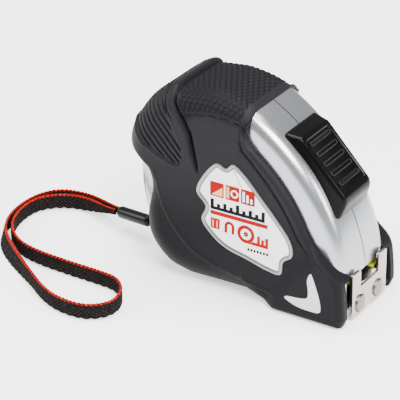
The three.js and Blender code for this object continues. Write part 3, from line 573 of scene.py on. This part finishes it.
def relief(P, u, v, top):
    """Height of the moulded details over the plain rubber in millimetres, and the painted shade at each point: darker
    in grooves, creases, scale rims and towards the bottom, negative for the painted light on the chamfer.
    """
    x, z = P[:, 0], P[:, 1]
    band, _ = fold(P, BAND_FRONT)
    rise = ramp((z - 45.5) / 9)
    h = 0.95 * rise * ramp(band / 0.9 + 0.5)
    step = np.exp(-((band + 0.85) / 0.62) ** 2) * ramp((z - 46) / 2.5) * (1 - 0.45 * top)
    h -= 0.95 * step
    crease, run = fold(P, BAND_CREASE)
    fold_line = np.exp(-(crease / 0.38) ** 2) * ramp(run / 4)
    h -= 0.5 * fold_line
    patch = depth_in(P, PATCH)
    lines = np.mod((0.743 * x + 0.669 * z) / 2.2, 1.0)
    h -= 0.4 * ramp(patch / 0.5 + 0.2)
    h += 0.3 * np.exp(-((patch + 0.45) / 0.4) ** 2) * (x + z < 27) * (z < 60)
    grooves = np.exp(-((lines - 0.5) * 2.2 / 0.27) ** 2) * ramp((patch - 0.6) / 0.7)
    h -= 0.75 * grooves
    scales_in, _ = fold(P, SCALE_EDGE)
    bevel_in, _ = fold(P, BEVEL_EDGE)
    ahead = ramp((-band - 0.9) / 1.2)
    share = np.clip(scales_in / np.minimum(scales_in - bevel_in - 1e-6, -1e-6), 0, 1)
    bevel = ramp((-scales_in) / 0.7 + 0.3) * (bevel_in > 0) * ahead * (x < 3.2)
    h -= 1.9 * (1 - share) * bevel
    zone = ramp((scales_in - 0.2) / 0.8) * ramp((-band - 1.6) / 0.8) * ramp((-2.4 - x) / 0.6)
    pitch, row = 2.35, 2.0
    bumps, rims = np.zeros(len(P)), np.zeros(len(P))
    base_row = np.floor(v / row)
    for dr in (-1, 0, 1, 2):
        r = base_row + dr
        shift = np.mod(r, 2) * pitch / 2
        c = np.round((u - shift) / pitch) * pitch + shift
        a, b = u - c, v - r * row
        round_it = np.hypot(a, b)
        lump = np.sqrt(np.clip(1 - (round_it / 1.1) ** 2, 0, 1)) * (0.3 + 0.7 * np.clip((a + 1.0) / 1.8, 0, 1))
        bumps = np.maximum(bumps, lump)
        rims = np.maximum(rims, np.exp(-((round_it - 0.86) / 0.2) ** 2) * ramp(a / 0.7 + 0.25))
    h += zone * (0.38 * bumps - 0.26 * rims - 0.16)
    ridge, _ = fold(P, RIDGE)
    h += 0.22 * np.exp(-(ridge / 0.5) ** 2) * ramp((45 - z) / 3) * ramp((15 - x) / 6)
    h -= 0.42 * ramp(-ridge / 0.9) * ramp((46 - z) / 3) * ramp((14 - x) / 5)
    front, run = fold(P, FRONT_LINE)
    front_line = np.exp(-(front / 0.36) ** 2) * ramp((run - 2.5) / 3) * (1 - 0.85 * ramp((run - 50) / 10))
    h -= 0.45 * front_line
    # Painted shade: the rubber is darkened towards the bottom, standing in for the fall of the light.
    painted_low_shade = 0.34 * ramp((46 - z) / 26)
    # Painted shade in the band's step, the crease, the patch grooves, the front line and the scale rims, and a little
    # over the whole scaled top.
    shade = np.maximum.reduce([step, fold_line, grooves, 0.8 * front_line, 0.8 * zone * rims, 0.3 * zone, painted_low_shade])
    # Painted light: the chamfer under the scales is made paler.
    return h, np.clip(shade, 0, 1) - 0.9 * bevel * (1 - 0.3 * share)


def grip(side):
    """One rubber half: rings from the seam over the edge and in across the side, then the moulded details."""
    outline = even(grip_outline(), 500)
    turn_steps, wall_steps, side_steps = 16, 27, 44
    steps = [("seam", 2.0), ("seam", 0.06)] + [("wall", k / wall_steps) for k in range(wall_steps + 1)]
    steps += [("turn", k / turn_steps) for k in range(1, turn_steps + 1)]
    steps += [("side", 0.80 * (k / side_steps) ** 0.9) for k in range(1, side_steps + 1)]
    reach = [0.0]
    for a, b in zip(outline, outline[1:]):
        reach.append(reach[-1] + (b - a).length)
    rings, across = [], []
    done = [0.0] * len(outline)
    last = None
    for kind, t in steps:
        ring = []
        for q in outline:
            r = edge_round(q)
            level, seam = flank(q), seam_level(q, side)
            inward = (MIDDLE - q).normalized()
            if kind == "seam":
                at, depth = q + inward * t, seam
            elif kind == "wall":
                at, depth = q, seam + 0.05 + (max(level - r, seam + 0.4) - seam - 0.05) * t
            else:
                a = math.pi / 2 * t if kind == "turn" else math.pi / 2
                inset = r * (1 - math.cos(a)) if kind == "turn" else r + ((MIDDLE - q).length - r) * t
                at = q + inward * inset
                depth = max(flank(at) - r * (1 - math.sin(a)), seam + 0.4)
            ring.append(Vector((at.x, side * depth, at.y)))
        if last:
            done = [d + (a - b).length for d, a, b in zip(done, ring, last)]
        rings.append(ring)
        across.append(list(done))
        last = ring
    bm = bmesh.new()
    u_layer = bm.verts.layers.float.new("along")
    v_layer = bm.verts.layers.float.new("across")
    sweep(bm, rings, cap_last=True)
    bm.verts.ensure_lookup_table()
    size = len(outline)
    mark = bm.verts.layers.int["mark"]
    for i, v in enumerate(bm.verts):
        v[u_layer] = reach[v[mark]]
        v[v_layer] = across[min(i // size, len(across) - 1)][v[mark]]
    cap = [f for f in bm.faces if len(f.verts) > 4]
    bmesh.ops.triangulate(bm, faces=cap)
    P = np.array([(v.co.x, v.co.z) for v in bm.verts])
    scales_in, band = fold(P, SCALE_EDGE)[0], fold(P, BAND_FRONT)[0]
    mask = (scales_in > -0.8) & (band < -0.6) & (P[:, 0] < -1.6) & (P[:, 1] > 60)
    ribbed = depth_in(P, PATCH) > -0.6
    bm.verts.index_update()
    for cuts, chosen in ((2, mask), (1, ribbed & ~mask)):
        picked = [e for e in bm.edges if all(v.index < len(P) and chosen[v.index] for v in e.verts)]
        bmesh.ops.subdivide_edges(bm, edges=picked, cuts=cuts, use_grid_fill=True)
    bmesh.ops.triangulate(bm, faces=[f for f in bm.faces if len(f.verts) > 4])
    bmesh.ops.recalc_face_normals(bm, faces=bm.faces)
    bm.normal_update()
    P = np.array([(v.co.x, v.co.z) for v in bm.verts])
    u = np.array([v[u_layer] for v in bm.verts])
    w = np.array([v[v_layer] for v in bm.verts])
    normals = np.array([tuple(v.normal) for v in bm.verts])
    if normals[np.argmax(P[:, 1])][2] < 0:
        normals = -normals
    top = ramp((np.abs(normals[:, 2]) - 0.5) / 0.3)
    h, shade = relief(P, u, w, top)
    level = np.array([abs(v.co.y) for v in bm.verts])
    parting = np.abs(np.array([v.co.y for v in bm.verts]) - 1) < 0.12
    normals[parting, 1] = 0
    normals /= np.maximum(np.linalg.norm(normals, axis=1), 1e-6)[:, None]
    inner = np.arange(len(h)) < len(outline)
    h[inner] = 0
    # This attribute carries the painted shade and painted light to the rubber material.
    painted_shade_layer = bm.verts.layers.float.new("groove")
    plate = depth_in(P, [tuple(p) for p in ring_spline(LABEL_KEYS, 120)]) if side < 0 else np.full(len(P), -9.0)
    h -= 0.5 * ramp((plate - 0.5) / 0.8) * (level > 19)
    for v, n, d, dark in zip(bm.verts, normals, h, shade):
        v[painted_shade_layer] = float(dark)
        v.co += Vector(n) * float(d)
        if v.co.z < 0:
            v.co.z = 0
    name = "near_rubber" if side < 0 else "far_rubber"
    piece = make(bm, name, "case", rubber, 50)
    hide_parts("near_grip" if side < 0 else "far_grip")
    return piece


grip(-1)
grip(1)


# ---------------------------------------------------------------- label
def plate_from(keys, count, levels, name, look, side=-1, node=None, angle=35):
    """A flat plate with a shaped edge. levels are (inset, distance from the middle plane) pairs."""
    base = ring_spline(keys, count)
    rings = [[Vector((q.x, side * y, q.y)) for q in inset_ring(base, inset)] for inset, y in levels]
    bm = bmesh.new()
    sweep(bm, rings, cap_last=True)
    bmesh.ops.triangulate(bm, faces=[f for f in bm.faces if len(f.verts) > 4])
    piece = make(bm, name, "case", look, angle)
    if node:
        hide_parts(node)
    return piece


plate_from(LABEL_KEYS, 200, [(0.02, 18.6), (0.02, 19.65), (0.15, 19.95), (0.45, 20.08), (0.8, 20.05), (1.25, 19.8),
                             (1.35, 19.7), (1.45, 19.66)], "label_rim", rim_look, node="label_plate")
# Painted shadow: a thin dark ring just outside the label's rim, where the label meets the rubber.
plate_from(LABEL_KEYS, 200, [(-0.28, 19.2), (-0.28, 19.53), (0.1, 19.53)], "label_shadow_ring", dark_rubber)
plate_from(LABEL_KEYS, 200, [(1.62, 19.3), (1.62, 19.68), (1.7, 19.76), (1.9, 19.79)], "label_face", white, angle=6)
# Painted shade: a dark ring laid in the groove between the rim and the face.
plate_from(LABEL_KEYS, 200, [(1.25, 19.3), (1.25, 19.72), (1.7, 19.72)], "label_groove", groove_shade_look)


def ink(shapes, name, look, lift=19.80):
    """Printed shapes, each a list of (x, z) corners, a hair above the label."""
    bm = bmesh.new()
    for shape in shapes:
        face = bm.faces.new([bm.verts.new((x, -lift, z)) for x, z in shape])
        grown = bmesh.ops.extrude_face_region(bm, geom=[face])["geom"]
        for v in (g for g in grown if isinstance(g, bmesh.types.BMVert)):
            v.co.y -= 0.03
    bmesh.ops.triangulate(bm, faces=[f for f in bm.faces if len(f.verts) > 4])
    return make(bm, name, "case", look, 30)


def box(x0, z0, x1, z1):
    return [(x0, z0), (x1, z0), (x1, z1), (x0, z1)]


def bent(x, z, radius, width, start, end, steps=14):
    """Part of a ring, from one angle to another."""
    turn = [math.radians(start + (end - start) * i / steps) for i in range(steps + 1)]
    outer = [(x + radius * math.cos(a), z + radius * math.sin(a)) for a in turn]
    inner = [(x + (radius - width) * math.cos(a), z + (radius - width) * math.sin(a)) for a in reversed(turn)]
    return outer + inner


def label_prints():
    """Three red tiles, a bold black rule, a red bar, small pictures of a scale, a magnet and a rolled tape."""
    tiles = [box(x, 39.4, x + 5.75, 45.2) for x in (-14.2, -7.75, -1.3)]
    roll = [bent(0.9, 27.4, 3.6, 1.4, 0, 180, 20), bent(0.9, 27.4, 3.6, 1.4, 180, 360, 20),
            bent(0.9, 27.4, 1.0, 0.9, 0, 180), bent(0.9, 27.4, 1.0, 0.9, 180, 360),
            [(1.7, 23.8), (10.2, 23.8), (10.2, 25.1), (3.9, 25.1), (3.15, 24.5)],
            box(5.6, 25.1, 6.8, 28.0), box(7.3, 25.1, 8.5, 26.9), box(9.0, 25.1, 10.2, 28.0)]
    ink(tiles + [box(-14.0, 31.9, 9.9, 33.5), box(-13.9, 26.3, -10.1, 30.5), box(-8.1, 25.8, -6.9, 28.6),
                 box(-5.1, 25.8, -3.9, 28.6), bent(-6.0, 28.6, 2.1, 1.2, 0, 180)] + roll,
        "label_red_print", red_ink)
    rule = [box(-14.0, 34.0, 8.7, 35.3)]
    for i in range(9):
        left = -14.0 + 2.66 * i
        rule.append(box(left, 35.2, left + 1.42, 38.2 if i % 4 == 0 else 37.4 if i % 2 == 0 else 36.6))
    ink(rule + [box(1.6 + 1.3 * i, 21.0, 2.45 + 1.3 * i, 22.1) for i in range(7)], "label_black_print", black_ink)
    ink([[(-13.7, 39.9), (-9.0, 39.9), (-9.0, 43.6)], box(-7.3, 40.0, -6.2, 44.6),
         box(-13.2, 26.9, -12.6, 29.7), box(-11.5, 26.9, -10.9, 29.7)], "label_peach_print", pale_ink, 19.835)
    ink([bent(-4.0, 42.3, 1.6, 0.6, 0, 180), bent(-4.0, 42.3, 1.6, 0.6, 180, 360), box(-0.6, 40.2, 0.3, 44.3),
         box(1.0, 40.2, 1.9, 43.2), box(2.6, 40.2, 3.5, 42.0), box(-8.0, 24.9, -7.0, 25.5),
         box(-5.0, 24.9, -4.0, 25.5)], "label_white_print", white, 19.835)


label_prints()

for badge_side, badge_name in ((-1, "near_foot_badge"), (1, "far_foot_badge")):
    plate_from(BADGE_KEYS, 120, [(0.05, 21.0), (0.05, 21.8), (0.2, 21.93), (0.45, 21.97)],
               badge_name.replace("foot_badge", "vee_badge"), badge_look, badge_side, badge_name)

# ---------------------------------------------------------------- hard case, lock, hook and fittings
refine("near_shell", silver, "near_case_half")
refine("far_shell", silver, "far_case_half")
def rounded_box(back, front, half, radius, steps=9):
    """Outline of a rounded rectangle as (t, y) points, always the same number of them."""
    out = []
    for ct, cy, start in ((front - radius, half - radius, 0), (back + radius, half - radius, 90),
                          (back + radius, radius - half, 180), (front - radius, radius - half, 270)):
        for i in range(steps + 1):
            a = math.radians(start + 90 * i / steps)
            out.append((ct + radius * math.cos(a), cy + radius * math.sin(a)))
    return out


def lock_slider():
    """Polished button: flared foot, slanting sides, a hollowed thumb face inside a fine raised edge, and ribs."""
    upper, lower = polar(47.9, FRONT_RADIUS + 4.0), polar(30.9, FRONT_RADIUS + 6.1)
    centre, along = (upper + lower) / 2, (lower - upper).normalized()
    outward = Vector((-along.y, along.x))
    if outward.dot(centre - FRONT_CENTRE) < 0:
        outward = -outward

    def base(t):
        """Height of the case's front under the button, on the button's own axes."""
        foot = centre + along * t - FRONT_CENTRE
        b, c = foot.dot(outward), foot.length_squared - (FRONT_RADIUS + 0.3) ** 2
        return -b + math.sqrt(max(b * b - c, 0))

    def at(t, y, n):
        spot = centre + along * t + outward * n
        return Vector((spot.x, y, spot.y))

    def sag(t):
        return -0.75 * (1 - (t / 12.6) ** 2)

    levels = [(0.0, -17.5, 18.3, 11.2, 1.6), (0.10, -17.5, 18.3, 11.2, 1.6), (0.19, -17.3, 18.2, 11.05, 1.6),
              (0.32, -16.3, 17.6, 10.7, 1.7), (0.70, -14.0, 16.4, 10.15, 1.7), (0.90, -13.1, 15.5, 9.85, 1.7),
              (0.955, -12.6, 14.9, 9.65, 1.7), (0.985, -12.2, 14.4, 9.35, 1.6), (1.0, -11.7, 13.8, 9.0, 1.5)]
    rings = []
    for f, back, front, half, radius in levels:
        ring = []
        for t, y in rounded_box(back, front, half, radius):
            top = sag(min(max(t, -12.6), 12.6)) - max(0.0, t - 11.5) * 0.33
            ring.append(at(t, y, base(t) * (1 - f) + top * f))
        rings.append(ring)
    for inset, drop in ((0.35, 0.05), (0.6, -0.04), (0.85, -0.38), (1.15, -0.48)):
        ring = []
        for t, y in rounded_box(-11.7 + inset, 12.4 - inset, 9.0 - inset, 1.4):
            ring.append(at(t, y, sag(t) + drop - (0.0 if t < 11.5 else (t - 11.5) * 0.25)))
        rings.append(ring)
    bm = bmesh.new()
    sweep(bm, rings, cap_last=True)
    bmesh.ops.triangulate(bm, faces=[f for f in bm.faces if len(f.verts) > 4])
    piece = make(bm, "lock_slider", "lock", gloss, 60)
    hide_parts("lock_button")
    bm = bmesh.new()
    for t in (-8.9, -4.6, -0.3, 4.0, 8.3):
        shapes = [(0.0, -0.62), (0.0, -0.05), (0.14, 0.06), (0.36, 0.06), (0.48, -0.08), (0.52, -0.3)]
        outline_rings = []
        for inset, n in shapes:
            pts = rounded_box(t - 0.95 + inset, t + 0.95 - inset, 7.2 - inset, 0.93 - inset, 6)
            outline_rings.append([at(a, y, sag(a) + n) for a, y in pts])
        sweep(bm, outline_rings, cap_last=True)
    bmesh.ops.triangulate(bm, faces=[f for f in bm.faces if len(f.verts) > 4])
    make(bm, "lock_ribs", "lock", rib_look, 50)


lock_slider()


def turned(name, node, look, centre, profile, body="hook"):
    """A round piece on the X axis. profile is (radius, x) pairs."""
    bm = bmesh.new()
    points = [bm.verts.new((x, 0, r)) for r, x in profile]
    edges = [bm.edges.new(pair) for pair in zip(points, points[1:])]
    bmesh.ops.spin(bm, geom=points + edges, cent=(0, 0, 0), axis=(1, 0, 0), angle=math.tau, steps=40,
                   use_merge=True, use_normal_flip=False)
    bmesh.ops.remove_doubles(bm, verts=bm.verts, dist=0.001)
    bmesh.ops.translate(bm, verts=bm.verts, vec=(0, centre[0], centre[1]))
    piece = make(bm, name, body, look, 50)
    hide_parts(node)


for y, magnet_node in ((-6.8, "near_magnet"), (6.8, "far_magnet")):
    turned(magnet_node.replace("magnet", "hook_stud"), magnet_node, stud_look, (y, 4.8),
           [(0, 40.3), (3.2, 40.3), (3.25, 40.4), (3.25, 41.55), (3.12, 41.8), (2.85, 41.93), (2.3, 41.99), (0, 42.0)])


def case_seam():
    """The dark line where the two halves of the hard case meet down the front."""
    line = arc(61.3, 11.2, FRONT_RADIUS, 60) + [Vector((39.3, 18.6)), Vector((39.3, 17.2))]
    rings = []
    for i, q in enumerate(line):
        way = (line[min(i + 1, len(line) - 1)] - line[max(i - 1, 0)]).normalized()
        out = Vector((-way.y, way.x))
        if out.dot(q - MIDDLE) < 0:
            out = -out
        low, high = q - out * 0.6, q + out * 0.02
        rings.append([Vector((p.x, y, p.y)) for p, y in ((low, -0.2), (high, -0.2), (high, 0.2), (low, 0.2))])
    bm = bmesh.new()
    sweep(bm, rings, cap_first=True, cap_last=True)
    make(bm, "case_seam", "case", dark_rubber, 30)


case_seam()
refine("hook", nickel, "end_hook", 0.2, 2)
refine("mouth_bumper", badge_look, "mouth_edge", 0.3, 2)


def mouth_nubs():
    """Small rubber stops at the two ends of the edge under the mouth."""
    bm = bmesh.new()
    for side in (-1, 1):
        rings = []
        for x, r in ((38.2, 0.95), (39.9, 0.95), (40.4, 0.8), (40.6, 0.5)):
            rings.append([Vector((x, side * 16.0 + r * math.cos(a), 2.6 + 1.25 * r * math.sin(a)))
                          for a in (math.tau * i / 16 for i in range(16))])
        sweep(bm, rings, cap_first=True, cap_last=True)
    make(bm, "mouth_nubs", "case", dark_rubber, 40)


mouth_nubs()
refine("belt_clip", steel, "belt_spring", 0.15, 2)


# ---------------------------------------------------------------- studio
def studio():
    bm = bmesh.new()
    bmesh.ops.create_grid(bm, x_segments=1, y_segments=1, size=3)
    mesh = bpy.data.meshes.new("floor")
    bm.to_mesh(mesh)
    bm.free()
    floor = bpy.data.objects.new("floor", mesh)
    paper = floor_look.node_tree.nodes["Principled BSDF"]
    paper.inputs["Emission Color"].default_value = (1, 1, 1, 1)
    paper.inputs["Emission Strength"].default_value = 0.82
    mesh.materials.append(floor_look)
    scene.collection.objects.link(floor)
    for name, place, size, power in [
        ("key_softbox", (0.62, -0.45, 0.95), 0.5, 26),
        ("left_softbox", (-0.85, -0.45, 0.60), 0.5, 10),
        ("top_softbox", (-0.05, 0.15, 1.25), 0.9, 34),
        ("front_strip", (1.0, 0.15, 0.45), 0.35, 6),
    ]:
        light = bpy.data.lights.new(name, "AREA")
        light.shape = "SQUARE"
        light.size = size
        light.energy = power
        lamp = bpy.data.objects.new(name, light)
        lamp.location = place
        lamp.rotation_euler = (Vector((0, 0, 0.03)) - Vector(place)).to_track_quat("-Z", "Y").to_euler()
        scene.collection.objects.link(lamp)
    world = bpy.data.worlds.new("studio_air")
    world.use_nodes = True
    world.node_tree.nodes["Background"].inputs["Color"].default_value = (1, 1, 1, 1)
    world.node_tree.nodes["Background"].inputs["Strength"].default_value = 0.5
    scene.world = world


studio()
